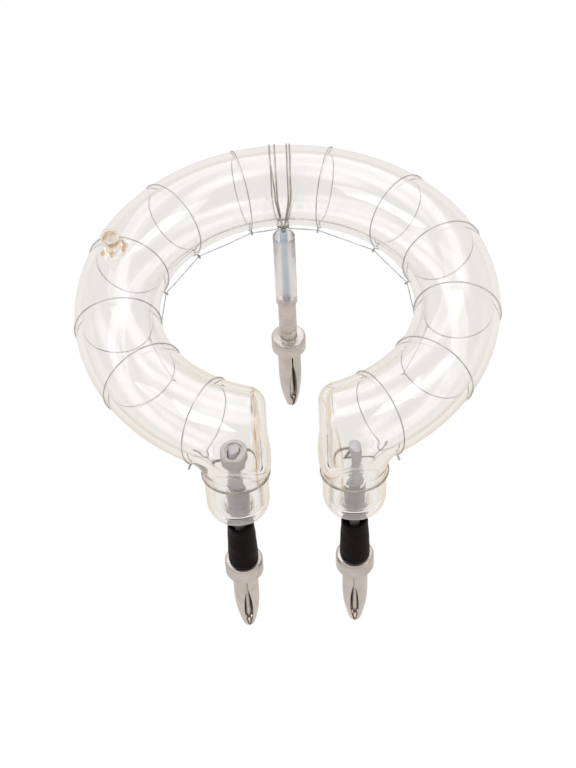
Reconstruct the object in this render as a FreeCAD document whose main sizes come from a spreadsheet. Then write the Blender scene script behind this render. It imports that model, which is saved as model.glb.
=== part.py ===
"""Ring flash tube with three plug pins.

A glass ring with two flat ends stands on two glass legs. Each leg is closed by a seal bead round
an electrode rod, and each rod ends in a plug. A third plug at the back carries the trigger post.
The trigger wire is tied round the ring in twelve turns. The glass, the legs and the exhaust tip
are one blown piece. Millimetres, +Z up, the pin tips at Z = 0 and the ring's axis on Z.
"""
import FreeCAD, Part
import math
import os
import Sketcher
from FreeCAD import Placement, Rotation, Vector

# Driving dimensions: alias, value and what it is
SIZES = (
    ("ring_radius", 30.7, "ring axis to the centre of the glass tube"),
    ("tube_radius", 7.7, "outside radius of the glass tube"),
    ("glass_wall", 1.2, "wall of the ring and the legs"),
    ("ring_rise", 37.25, "underside of the collars to the plane of the ring"),
    ("end_round", 2.7, "rounding of the flat ends"),
    ("end_stand", 0.2, "how far a flat end stands beyond its leg"),
    ("leg_radius", 5.55, "outside radius of a leg"),
    ("leg_spread", 20.4, "distance between the leg axes"),
    ("leg_forward", 1.55, "leg axes in front of the glass tube's centre"),
    ("leg_length", 17.35, "plane of the ring down to the leg's lip"),
    ("leg_blend", 3.5, "height over which a leg's top draws in to meet the ring"),
    ("leg_draw_in", 0.9, "how far it draws in"),
    ("lip_radius", 4.3, "outside radius of the leg's lip"),
    ("shoulder_height", 1.9, "height of the leg's rounded shoulder"),
    ("lip_bore", 3.4, "radius of the hole in the lip"),
    ("bead_drop", 4.3, "height of the seal bead below the lip"),
    ("bead_foot", 2.5, "radius of the bead's lowest face"),
    ("bead_neck", 6.5, "height of the bead above the lip"),
    ("bead_collar", 0.85, "glass round the rod at the bead's top"),
    ("cathode_rod_radius", 1.1, "cathode rod"),
    ("anode_rod_radius", 1.0, "anode rod"),
    ("rod_flange", 0.6, "how far the rod's flange stands out"),
    ("flange_height", 0.35, "thickness of the rod's flange"),
    ("rod_button", 0.35, "how far the cathode rod stands out of its pellet"),
    ("anode_depth", 1.65, "plane of the ring down to the anode's flat top"),
    ("pellet_depth", 1.45, "plane of the ring down to the pellet's top"),
    ("pellet_radius", 2.25, "cathode pellet"),
    ("pellet_height", 3.8, "straight part of the pellet"),
    ("pellet_taper", 3.2, "tapered part of the pellet"),
    ("pellet_neck_radius", 1.45, "neck of the pellet"),
    ("pellet_neck_height", 1.6, "straight neck below the taper"),
    ("pellet_groove", 0.35, "width and depth of the groove round the button"),
    ("pellet_edge", 0.2, "chamfer of the pellet's top"),
    ("pin_length", 18.15, "pin tip to the underside of the collar"),
    ("collar_radius", 3.5, "plug collar"),
    ("collar_height", 3.6, "plug collar"),
    ("collar_edge", 0.35, "chamfer of the collar"),
    ("spigot_radius", 1.75, "spigot above the collar"),
    ("spigot_height", 2.2, "spigot above the collar"),
    ("cup_depth", 3.4, "depth of the hole for the rod in the spigot"),
    ("cup_gap", 0.05, "clearance of a rod in that hole"),
    ("core_radius", 1.05, "core pin inside the spring"),
    ("core_length", 16.15, "core pin below the collar"),
    ("core_point", 3.0, "tapered end of the core pin"),
    ("core_tip", 0.3, "radius at the end of that taper"),
    ("band_length", 1.4, "shoulder that the spring is pressed on"),
    ("band_radius", 1.8, "that shoulder, and the spring's upper bore"),
    ("spring_wall", 0.35, "sheet of the spring"),
    ("crown_radius", 2.35, "widest part of the spring"),
    ("crown_top", 2.4, "collar to the top of the crown"),
    ("crown_length", 4.6, "straight part of the crown"),
    ("nose_radius", 1.15, "spring where the nose begins"),
    ("nose_height", 1.0, "rounded nose below that"),
    ("nose_solid", 0.9, "solid metal above the nose"),
    ("slot_width", 1.6, "widest part of a slot"),
    ("slot_top", 3.6, "collar to the wide part of a slot"),
    ("slot_bottom", 17.4, "collar to the bottom of a slot"),
    ("slit_width", 0.3, "narrow slit above a slot"),
    ("slit_top", 1.0, "collar to the top of the slit"),
    ("sleeve_radius", 2.78, "black sleeve at its middle"),
    ("sleeve_mouth", 2.4, "black sleeve at its mouth"),
    ("sleeve_drop", 0.55, "foot of the seal bead down to the black sleeve's mouth"),
    ("sleeve_waist", 2.6, "height where the black sleeve is widest"),
    ("sleeve_lip", 0.45, "wall of the black sleeve at its mouth"),
    ("sleeve_gap", 0.03, "clearance between a sleeve and what it is pushed on"),
    ("post_stand", 8.5, "trigger post to the glass tube's centre"),
    ("post_rod_radius", 0.75, "trigger rod"),
    ("post_rod_depth", 3.95, "plane of the ring down to the rod's top"),
    ("ferrule_radius", 1.8, "ferrule on the trigger rod"),
    ("ferrule_height", 9.5, "ferrule"),
    ("ferrule_edge", 0.15, "chamfer of the ferrule"),
    ("milk_radius", 2.15, "milky sleeve"),
    ("milk_rise", 14.1, "underside of the collar to the milky sleeve"),
    ("milk_depth", 5.25, "plane of the ring down to the top of the milky sleeve"),
    ("wire_radius", 0.14, "trigger wire"),
    ("wire_gap", 0.03, "clearance between a wire and what it lies on"),
    ("knot_stand", 1.0, "how far a knot stands off the turn"),
    ("knot_angle", 145, "knots, below the outside of the ring"),
    ("last_knot_angle", 40, "knot of the last turn on each side"),
    ("knot_tail", 0.9, "length of a knot's tails"),
    ("tuck_angle", 115, "ends of the binding's inner strands, below the outside"),
    ("strand_radius", 0.19, "strands of the binding and the ties"),
    ("strand_gap", 0.2, "clearance of the binding on the glass"),
    ("strand_pitch", 1.0, "spacing of the binding's strands over the tube"),
    ("eye_radius", 0.6, "twisted eye of the binding"),
    ("eye_height", 0.9, "that eye, which stands on the rod"),
    ("twist_radius", 0.42, "twist that joins the strands behind the post"),
    ("twist_length", 2.0, "that twist"),
    ("cathode_tie_rise", 9.95, "the left leg's lip to its tie"),
    ("anode_tie_rise", 8.9, "the right leg's lip to its tie"),
    ("tie_tilt", 11, "lean of a tie, which is higher in front"),
    ("tie_tail", 2.6, "length of the tie's twisted tail"),
    ("tie_tail_radius", 0.4, "that tail"),
    ("tie_tail_sink", 0.15, "depth of that tail's foot in the tie"),
    ("tip_reach", 4.4, "length of the exhaust tip"),
    ("tip_foot", 2.45, "radius of its foot"),
    ("tip_neck", 1.3, "radius of its neck"),
    ("tip_bulb", 1.68, "radius of its bulb"),
    ("tip_bore", 0.55, "radius of the closed bore in its foot"),
    ("tip_angle", 165, "place of the tip round the ring"),
    ("tip_tilt", 81, "place of the tip on the tube, above the outside"),
)
LEFT_TURNS = (104.8, 133, 160, 188, 212.8, 241)
RIGHT_TURNS = (74, 45, 19.5, -8.5, -36, -61.5)
# Turn of each plug in its socket, which shows where its slots are
PLUG_TURNS = {"cathode": 6, "anode": -6, "trigger": 15}
# Where the strands cross the tube, in spacings, and the angle where each ends
BINDING_STRANDS = ((-2.0, "knot_angle"), (-1.0, "tuck_angle"), (1.0, "tuck_angle"),
                   (1.7, "knot_angle"))
# Round edges: radius over chord
SHOULDER_BOW = 0.92
BEAD_BOW = 0.73
BEAD_NECK_BOW = 1.42
PELLET_BOW = 1.55
TIP_NECK_BOW = 0.82
# Heights on the exhaust tip, over its length
TIP_NECK_HEIGHT = 0.36
TIP_BULB_HEIGHT = 0.64
# Sections of thin wires have six flats
FLATS = 6
FLAT_REACH = math.cos(math.pi / FLATS)
# Direction of a tie's tail on the right leg
TAIL_HEADING = (0.82, -0.45, 0.35)

doc = FreeCAD.newDocument("ring_flash_tube")
sheet = doc.addObject("Spreadsheet::Sheet", "sizes")
for row, (alias, value, meaning) in enumerate(SIZES, start=1):
    sheet.set(f"A{row}", meaning)
    sheet.set(f"B{row}", str(value))
    sheet.setAlias(f"B{row}", alias)
doc.recompute()


class Measure:
    """A length that knows its value and the sheet expression that gives it."""

    def __init__(self, value, text):
        self.value = value
        self.text = text

    def combine(self, other, sign):
        other = measure(other)
        results = {"+": lambda a, b: a + b, "-": lambda a, b: a - b,
                   "*": lambda a, b: a * b, "/": lambda a, b: a / b}
        return Measure(results[sign](self.value, other.value),
                       f"({self.text} {sign} {other.text})")

    def __add__(self, other):
        return self.combine(other, "+")

    def __sub__(self, other):
        return self.combine(other, "-")

    def __mul__(self, other):
        return self.combine(other, "*")

    def __truediv__(self, other):
        return self.combine(other, "/")

    def __neg__(self):
        return Measure(-self.value, f"(0 - {self.text})")


def measure(thing):
    return thing if isinstance(thing, Measure) else Measure(thing, repr(thing))


def size(alias):
    return Measure(float(getattr(sheet, alias)), f"sizes.{alias}")


def root(thing):
    return Measure(math.sqrt(thing.value), f"sqrt({thing.text})")


def cosine(thing):
    return Measure(math.cos(math.radians(thing.value)), f"cos({thing.text})")


def sine(thing):
    return Measure(math.sin(math.radians(thing.value)), f"sin({thing.text})")


def bind(thing, path, length):
    thing.setExpression(path, length.text)


def tangent_bow(rise, run):
    """Bow of an arc that leaves one end along its run and rises to the other end."""
    return root(rise * rise + run * run) / (rise * 2)


def new_body(name):
    body = doc.addObject("PartDesign::Body", name)
    body.Label = name
    return body


def place(thing, x=None, y=None, z=None):
    """Bind the place of a sub-part to the sheet."""
    for axis, length in (("x", x), ("y", y), ("z", z)):
        if length is not None:
            setattr(thing.Placement.Base, axis, length.value)
            bind(thing, f"Placement.Base.{axis}", length)


def new_sketch(body, name, role, lift=None):
    sketch = body.newObject("Sketcher::SketchObject", name)
    plane = next(item for item in body.Origin.OriginFeatures if item.Role == role)
    sketch.AttachmentSupport = [(plane, "")]
    sketch.MapMode = "FlatFace"
    if lift is not None:
        sketch.AttachmentOffset = Placement(Vector(0, 0, lift.value), Rotation())
        bind(sketch, "AttachmentOffset.Base.z", lift)
    return sketch


def pin_point(sketch, geometry, end, x, y):
    """Hold one end of an edge at a place given by the sheet."""
    for kind, length, axis in (("DistanceX", x, -2), ("DistanceY", y, -1)):
        length = measure(length)
        if length.text in ("0", "0.0"):
            sketch.addConstraint(Sketcher.Constraint("PointOnObject", geometry, end, axis))
        else:
            number = sketch.addConstraint(
                Sketcher.Constraint(kind, -1, 1, geometry, end, length.value))
            sketch.setExpression(f"Constraints[{number}]", length.text)


def arc_through(start, end, radius):
    """Arc between two points: a positive radius bends to the left, a negative to the right."""
    chord = end - start
    half = chord.Length / 2
    side = 1 if radius > 0 else -1
    normal = Vector(-chord.y, chord.x, 0).normalize() * side
    centre = start + chord * 0.5 + normal * math.sqrt(max(radius * radius - half * half, 0))
    first, last = (start, end) if side > 0 else (end, start)
    begin = math.atan2(first.y - centre.y, first.x - centre.x)
    finish = math.atan2(last.y - centre.y, last.x - centre.x)
    circle = Part.Circle(centre, Vector(0, 0, 1), abs(radius))
    return Part.ArcOfCircle(circle, begin, finish)


def draw(sketch, corners, closed=True):
    """Draw an outline. A corner is (x, y), or (x, y, bow) where a round edge follows it.

    A bow is radius over chord. It is positive where the edge bends to the left.
    """
    points = [Vector(measure(c[0]).value, measure(c[1]).value, 0) for c in corners]
    count = len(corners) if closed else len(corners) - 1
    ends = []
    for number in range(count):
        start = points[number]
        end = points[(number + 1) % len(points)]
        if len(corners[number]) == 2:
            geometry = sketch.addGeometry(Part.LineSegment(start, end), False)
            ends.append((geometry, 1, 2))
        else:
            bow = measure(corners[number][2])
            left = bow.value > 0
            following = corners[(number + 1) % len(corners)]
            across = measure(following[0]) - corners[number][0]
            along = measure(following[1]) - corners[number][1]
            radius = root(across * across + along * along) * (bow if left else -bow)
            signed = radius.value if left else -radius.value
            geometry = sketch.addGeometry(arc_through(start, end, signed), False)
            ends.append((geometry, 1, 2) if left else (geometry, 2, 1))
            index = sketch.addConstraint(Sketcher.Constraint("Radius", geometry, radius.value))
            sketch.setExpression(f"Constraints[{index}]", radius.text)
    for number in range(count):
        geometry, first, last = ends[number]
        pin_point(sketch, geometry, first, corners[number][0], corners[number][1])
        if closed or number + 1 < count:
            following, beginning, unused = ends[(number + 1) % count]
            sketch.addConstraint(
                Sketcher.Constraint("Coincident", geometry, last, following, beginning))
    if not closed:
        geometry, first, last = ends[-1]
        pin_point(sketch, geometry, last, corners[-1][0], corners[-1][1])


def draw_wire_section(sketch, x, y, radius):
    """Section of a thin wire."""
    corners = []
    for number in range(FLATS):
        angle = math.pi / FLATS * (2 * number + 1)
        corners.append((measure(x) + radius * math.cos(angle),
                        measure(y) + radius * math.sin(angle)))
    draw(sketch, corners)


def turned(name, corners):
    """A turned body: the outline holds (radius, height) corners beside the Z axis."""
    body = new_body(name)
    sketch = new_sketch(body, name + "_profile", "XZ_Plane")
    draw(sketch, corners)
    revolution = body.newObject("PartDesign::Revolution", name + "_turn")
    revolution.Profile = sketch
    revolution.ReferenceAxis = (sketch, ["V_Axis"])
    revolution.Angle = 360
    body.Tip = revolution
    return body


def primitive(kind, name, **lengths):
    thing = doc.addObject(kind, name)
    for key, length in lengths.items():
        bind(thing, key, measure(length))
    return thing


def combine(kind, name, pieces):
    thing = doc.addObject(kind, name)
    if kind == "Part::Cut":
        thing.Base, thing.Tool = pieces
    else:
        thing.Shapes = pieces
    thing.Label = name
    return thing


# Heights that several pieces share
collar_under = size("pin_length")
ring_plane = collar_under + size("ring_rise")
lip_plane = ring_plane - size("leg_length")
collar_top = collar_under + size("collar_height")
spigot_top = collar_top + size("spigot_height")
cup_floor = spigot_top - size("cup_depth")
bead_top = lip_plane + size("bead_neck")
leg_side = size("leg_spread") / 2
leg_back = -(size("ring_radius") + size("leg_forward"))
bead_low = lip_plane - size("bead_drop")
sleeve_high = bead_low - size("sleeve_drop")
post_back = size("ring_radius") - size("post_stand")
post_top = ring_plane - size("post_rod_depth")
sleeve_bore = size("spigot_radius") + size("sleeve_gap")


def ring_form(name, inset):
    """Ring that is open in front, with flat rounded ends, made smaller all round by inset."""
    ring = primitive("Part::Torus", name + "_arc", Radius1=size("ring_radius"),
                     Radius2=size("tube_radius") - inset, Angle1=-180, Angle2=180, Angle3=360)
    place(ring, z=ring_plane)
    # Each flat end stands just beyond the gap side of its leg
    half_gap = leg_side - size("leg_radius") - size("end_stand") + inset
    reach = size("tube_radius") * 2
    gap = primitive("Part::Box", name + "_gap", Length=half_gap * 2, Width=reach * 2,
                    Height=reach * 2)
    place(gap, -half_gap, -(size("ring_radius") + reach), ring_plane - reach)
    joined = combine("Part::Cut", name + "_open", (ring, gap))
    doc.recompute()
    rounded = doc.addObject("Part::Fillet", name + "_rounded")
    rounded.Base = joined
    rounding = size("end_round") - inset
    flat_edges = [edge for face in joined.Shape.Faces if isinstance(face.Surface, Part.Plane)
                  for edge in face.Edges]
    edges = []
    for number, edge in enumerate(joined.Shape.Edges, start=1):
        if any(edge.isSame(other) for other in flat_edges):
            edges.append((number, rounding.value, rounding.value))
    rounded.Edges = edges
    return rounded


def leg_form(name, inset, side):
    """One leg with its rounded shoulder, made smaller all round by inset."""
    draw_in = size("leg_draw_in")
    body = turned(name, (
        (0, ring_plane),
        (0, lip_plane + inset),
        (size("lip_radius") - inset, lip_plane + inset, SHOULDER_BOW),
        (size("leg_radius") - inset, lip_plane + size("shoulder_height")),
        (size("leg_radius") - inset, ring_plane - size("leg_blend"),
         tangent_bow(draw_in, size("leg_blend"))),
        (size("leg_radius") - inset - draw_in, ring_plane),
    ))
    place(body, leg_side * side, leg_back)
    return body


def tip_place(lift):
    """Place on the glass tube where the exhaust tip is, with its Z axis along the tip."""
    turn = size("tip_angle").value
    tilt = size("tip_tilt").value
    outward = Rotation(Vector(0, 0, 1), turn) * Rotation(Vector(0, 1, 0), 90 - tilt)
    centre = Rotation(Vector(0, 0, 1), turn).multVec(Vector(size("ring_radius").value, 0, 0))
    centre.z = ring_plane.value
    reach = size("tube_radius").value + lift
    return Placement(centre + outward.multVec(Vector(0, 0, reach)), outward)


def exhaust_tip():
    foot = size("tip_foot")
    sunk = size("glass_wall") * 0.8
    bulb_height = size("tip_reach") * TIP_BULB_HEIGHT
    dome_bow = tangent_bow(size("tip_reach") - bulb_height, size("tip_bulb"))
    body = turned("exhaust_tip", (
        (0, -sunk),
        (foot, -sunk),
        (foot, -(sunk / 2), -TIP_NECK_BOW),
        (size("tip_neck"), size("tip_reach") * TIP_NECK_HEIGHT),
        (size("tip_bulb"), bulb_height, dome_bow),
        (0, size("tip_reach")),
    ))
    body.Placement = tip_place(0)
    return body


def glass_envelope():
    none = Measure(0.0, "0")
    wall = size("glass_wall")
    outside = [ring_form("ring_outside", none)]
    inside = [ring_form("ring_inside", wall)]
    for side in (-1, 1):
        word = "left" if side < 0 else "right"
        outside.append(leg_form(f"leg_outside_{word}", none, side))
        inside.append(leg_form(f"leg_inside_{word}", wall, side))
        bore = primitive("Part::Cylinder", f"lip_bore_{word}", Radius=size("lip_bore"),
                         Height=wall * 3)
        place(bore, leg_side * side, leg_back, lip_plane - wall)
        inside.append(bore)
    outside.append(exhaust_tip())
    tip_bore = primitive("Part::Cylinder", "tip_bore", Radius=size("tip_bore"),
                         Height=wall * 2.2)
    tip_bore.Placement = tip_place(-wall.value * 1.5)
    inside.append(tip_bore)
    solid = combine("Part::MultiFuse", "envelope_outside", outside)
    hollow = combine("Part::MultiFuse", "envelope_inside", inside)
    return combine("Part::Cut", "glass_envelope", (solid, hollow))


def seal_bead(name, rod, side):
    """Seal glass round a rod: a dome below the lip, a seat in it and a neck above."""
    body = turned(name, (
        (rod, bead_low),
        (size("bead_foot"), bead_low, BEAD_BOW),
        (size("lip_radius"), lip_plane),
        (size("lip_bore"), lip_plane),
        (size("lip_bore"), lip_plane + size("glass_wall"), -BEAD_NECK_BOW),
        (rod + size("bead_collar"), bead_top),
        (rod, bead_top),
    ))
    place(body, leg_side * side, leg_back)
    return body


def electrode_rod(name, rod, top, side):
    """Rod from the plug's cup to the inside of the ring, with a flange on the seal bead."""
    flange = rod + size("rod_flange")
    body = turned(name, (
        (0, cup_floor),
        (rod, cup_floor),
        (rod, bead_top),
        (flange, bead_top),
        (flange, bead_top + size("flange_height")),
        (rod, bead_top + size("flange_height")),
        (rod, top),
        (0, top),
    ))
    place(body, leg_side * side, leg_back)
    return body


def cathode_pellet():
    rod = size("cathode_rod_radius")
    top = ring_plane - size("pellet_depth")
    groove = size("pellet_groove")
    shoulder = top - size("pellet_height")
    neck_top = shoulder - size("pellet_taper")
    body = turned("cathode_pellet", (
        (rod, neck_top - size("pellet_neck_height")),
        (size("pellet_neck_radius"), neck_top - size("pellet_neck_height")),
        (size("pellet_neck_radius"), neck_top, -PELLET_BOW),
        (size("pellet_radius"), shoulder),
        (size("pellet_radius"), top - size("pellet_edge")),
        (size("pellet_radius") - size("pellet_edge"), top),
        (rod + groove, top),
        (rod + groove, top - groove),
        (rod, top - groove),
    ))
    place(body, -leg_side, leg_back)
    return body


def plug_body(name, x, y):
    """Turned plug: collar, spigot with a cup for the rod, and the core pin of the spring."""
    edge = size("collar_edge")
    core = size("core_radius")
    band = size("band_radius")
    cup = size("cathode_rod_radius") + size("cup_gap")
    core_end = collar_under - size("core_length")
    body = turned(name, (
        (0, core_end),
        (size("core_tip"), core_end),
        (core, core_end + size("core_point")),
        (core, collar_under - size("band_length")),
        (band, collar_under - size("band_length")),
        (band, collar_under),
        (size("collar_radius") - edge, collar_under),
        (size("collar_radius"), collar_under + edge),
        (size("collar_radius"), collar_top - edge),
        (size("collar_radius") - edge, collar_top),
        (size("spigot_radius"), collar_top),
        (size("spigot_radius"), spigot_top),
        (cup, spigot_top),
        (cup, cup_floor),
        (0, cup_floor),
    ))
    place(body, x, y)
    return body


def plug_spring(name, x, y, turn):
    """Barrel spring of rolled sheet: four slots leave four leaves that meet in the nose."""
    wall = size("spring_wall")
    crown = size("crown_radius")
    band = size("band_radius")
    crown_top = collar_under - size("crown_top")
    crown_end = crown_top - size("crown_length")
    nose_top = size("nose_height")
    hollow_end = nose_top + size("nose_solid")
    outer_bow = tangent_bow(crown - size("nose_radius"), crown_end - nose_top)
    inner_bow = tangent_bow(crown - size("nose_radius"), crown_end - hollow_end)
    body = turned(name, (
        (0, 0, tangent_bow(nose_top, size("nose_radius"))),
        (size("nose_radius"), nose_top, outer_bow),
        (crown, crown_end),
        (crown, crown_top),
        (band + wall, collar_under - size("slit_top")),
        (band + wall, collar_under),
        (band, collar_under),
        (band, collar_under - size("band_length")),
        (crown - wall, crown_top),
        (crown - wall, crown_end, -inner_bow),
        (size("nose_radius") - wall, hollow_end),
        (0, hollow_end),
    ))
    slots = new_sketch(body, name + "_slots", "XZ_Plane")
    slit = size("slit_width") / 2
    bulge = size("slot_width") / 2 - slit
    top = collar_under - size("slot_top")
    bottom = collar_under - size("slot_bottom")
    chord = top - bottom
    lens = (chord * chord / 4 + bulge * bulge) / (bulge * chord * 2)
    draw(slots, (
        (slit, top, -lens),
        (slit, bottom),
        (-slit, bottom, -lens),
        (-slit, top),
        (-slit, collar_under - size("slit_top")),
        (slit, collar_under - size("slit_top")),
    ))
    pocket = body.newObject("PartDesign::Pocket", name + "_slot_pair")
    pocket.Profile = slots
    pocket.Type = "ThroughAll"
    pocket.Midplane = True
    doc.recompute()
    pattern = body.newObject("PartDesign::PolarPattern", name + "_leaves")
    pattern.Originals = [pocket]
    pattern.Axis = (slots, ["V_Axis"])
    pattern.Angle = 180
    pattern.Occurrences = 2
    body.Tip = pattern
    body.Placement.Rotation = Rotation(Vector(0, 0, 1), turn)
    place(body, x, y)
    return body


def black_sleeve(name, side):
    waist = collar_top + size("sleeve_waist")
    body = turned(name, (
        (sleeve_bore, collar_top),
        (size("sleeve_radius") - size("sleeve_gap"), collar_top),
        (size("sleeve_radius"), waist),
        (size("sleeve_mouth"), sleeve_high),
        (size("sleeve_mouth") - size("sleeve_lip"), sleeve_high),
        (sleeve_bore, spigot_top + size("sleeve_lip")),
    ))
    place(body, leg_side * side, leg_back)
    return body


def trigger_post():
    rod = size("post_rod_radius")
    ferrule = size("ferrule_radius")
    edge = size("ferrule_edge")
    milk_low = collar_under + size("milk_rise")
    milk_high = ring_plane - size("milk_depth")
    ferrule_top = spigot_top + size("ferrule_height")
    rod_piece = turned("trigger_rod", (
        (0, cup_floor),
        (rod, cup_floor),
        (rod, post_top),
        (0, post_top),
    ))
    ferrule_piece = turned("trigger_ferrule", (
        (rod + size("sleeve_gap"), spigot_top),
        (ferrule - edge, spigot_top),
        (ferrule, spigot_top + edge),
        (ferrule, ferrule_top),
        (rod + size("sleeve_gap"), ferrule_top),
    ))
    milk_piece = turned("trigger_sleeve", (
        (ferrule + size("sleeve_gap"), milk_low),
        (size("milk_radius"), milk_low),
        (size("milk_radius"), milk_high),
        (ferrule + size("sleeve_gap"), milk_high),
    ))
    pieces = [rod_piece, ferrule_piece, milk_piece]
    for piece in pieces:
        place(piece, y=post_back)
    return pieces


def wire_loop(name, turn_radius, knot_reach, wire, tail):
    """Wire bent round the Y axis, with both ends side by side in a knot on the -X side."""
    body = new_body(name)
    path = new_sketch(body, name + "_path", "XZ_Plane")
    beside = wire + size("wire_gap")
    distance = math.hypot(knot_reach.value, beside.value)
    lean = math.acos(turn_radius.value / distance) + math.atan2(beside.value, knot_reach.value)
    touch = math.pi - lean
    upper = Vector(math.cos(touch), math.sin(touch), 0) * turn_radius.value
    lower = Vector(upper.x, -upper.y, 0)
    knot_up = Vector(-knot_reach.value, beside.value, 0)
    knot_down = Vector(-knot_reach.value, -beside.value, 0)
    tail_run = Vector(-tail.value, 0, 0)
    circle = Part.Circle(Vector(0, 0, 0), Vector(0, 0, 1), turn_radius.value)
    tail_up = path.addGeometry(Part.LineSegment(knot_up + tail_run, knot_up), False)
    side_up = path.addGeometry(Part.LineSegment(knot_up, upper), False)
    arc = path.addGeometry(Part.ArcOfCircle(circle, -touch, touch), False)
    side_down = path.addGeometry(Part.LineSegment(lower, knot_down), False)
    tail_down = path.addGeometry(Part.LineSegment(knot_down, knot_down + tail_run), False)
    path.addConstraint(Sketcher.Constraint("Coincident", tail_up, 2, side_up, 1))
    path.addConstraint(Sketcher.Constraint("Tangent", side_up, 2, arc, 2))
    path.addConstraint(Sketcher.Constraint("Tangent", arc, 1, side_down, 1))
    path.addConstraint(Sketcher.Constraint("Coincident", side_down, 2, tail_down, 1))
    pin_point(path, arc, 3, 0, 0)
    index = path.addConstraint(Sketcher.Constraint("Radius", arc, turn_radius.value))
    path.setExpression(f"Constraints[{index}]", turn_radius.text)
    pin_point(path, tail_up, 1, -(knot_reach + tail), beside)
    pin_point(path, tail_up, 2, -knot_reach, beside)
    pin_point(path, tail_down, 1, -knot_reach, -beside)
    pin_point(path, tail_down, 2, -(knot_reach + tail), -beside)
    section = new_sketch(body, name + "_section", "YZ_Plane", -(knot_reach + tail))
    draw_wire_section(section, 0, beside, wire)
    pipe = body.newObject("PartDesign::AdditivePipe", name + "_wire")
    pipe.Profile = section
    pipe.Spine = path
    pipe.Transition = "Right corner"
    body.Tip = pipe
    return body


def trigger_turn(name, place_angle, knot_angle):
    """One turn of trigger wire, with its knot at the given angle below the ring's outside."""
    turn_radius = size("tube_radius") + size("wire_radius") + size("wire_gap")
    body = wire_loop(name, turn_radius, turn_radius + size("knot_stand"),
                     size("wire_radius"), size("knot_tail"))
    around = Rotation(Vector(0, 0, 1), place_angle)
    swing = Rotation(Vector(0, 1, 0), knot_angle - 180)
    centre = around.multVec(Vector(size("ring_radius").value, 0, 0))
    centre.z = ring_plane.value
    body.Placement = Placement(centre, around * swing)
    return body


def runner_reach():
    """Centre of the glass tube to the runner wire, which lies in the angle of each knot."""
    turn_radius = size("tube_radius") + size("wire_radius") + size("wire_gap")
    return turn_radius + size("knot_stand") - size("wire_radius") * 2


def trigger_runner(name, angles):
    """Runner wire, laid straight from knot to knot under the inside of the ring."""
    reach = runner_reach()
    knot = size("knot_angle")
    inward = size("ring_radius") + cosine(knot) * reach
    level = ring_plane - sine(knot) * reach
    body = new_body(name)
    path = new_sketch(body, name + "_path", "XY_Plane", level)
    side = 1 if angles[0] < 90 else -1
    start = size("twist_length") / 2 * side
    corners = [(start, inward), (start * 2, inward)]
    for angle in angles:
        direction = measure(angle)
        corners.append((cosine(direction) * inward, sine(direction) * inward))
    draw(path, corners, closed=False)
    section = new_sketch(body, name + "_section", "YZ_Plane", start)
    draw_wire_section(section, inward, level, size("wire_radius"))
    pipe = body.newObject("PartDesign::AdditivePipe", name + "_wire")
    pipe.Profile = section
    pipe.Spine = path
    pipe.Transition = "Right corner"
    body.Tip = pipe
    return body


def binding_strand(name, turn_radius, reach, finish_x, finish_y):
    """Strand from the eye, on the -X side, over the tube and round to its finish below."""
    body = new_body(name)
    path = new_sketch(body, name + "_path", "XZ_Plane")
    stub = size("eye_radius") / 2
    touch = math.pi - math.acos(turn_radius.value / reach.value)
    upper = Vector(math.cos(touch), math.sin(touch), 0) * turn_radius.value
    eye = Vector(-reach.value, 0, 0)
    circle = Part.Circle(Vector(0, 0, 0), Vector(0, 0, 1), turn_radius.value)
    lead = path.addGeometry(Part.LineSegment(eye - Vector(stub.value, 0, 0), eye), False)
    rise = path.addGeometry(Part.LineSegment(eye, upper), False)
    begin = math.atan2(finish_y.value, finish_x.value)
    arc = path.addGeometry(Part.ArcOfCircle(circle, begin, touch), False)
    path.addConstraint(Sketcher.Constraint("Coincident", lead, 2, rise, 1))
    path.addConstraint(Sketcher.Constraint("Tangent", rise, 2, arc, 2))
    pin_point(path, arc, 3, 0, 0)
    pin_point(path, lead, 1, -(reach + stub), 0)
    pin_point(path, lead, 2, -reach, 0)
    pin_point(path, arc, 1, finish_x * turn_radius, finish_y * turn_radius)
    section = new_sketch(body, name + "_section", "YZ_Plane", -(reach + stub))
    draw_wire_section(section, 0, 0, size("strand_radius"))
    pipe = body.newObject("PartDesign::AdditivePipe", name + "_wire")
    pipe.Profile = section
    pipe.Spine = path
    pipe.Transition = "Right corner"
    body.Tip = pipe
    return body


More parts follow.
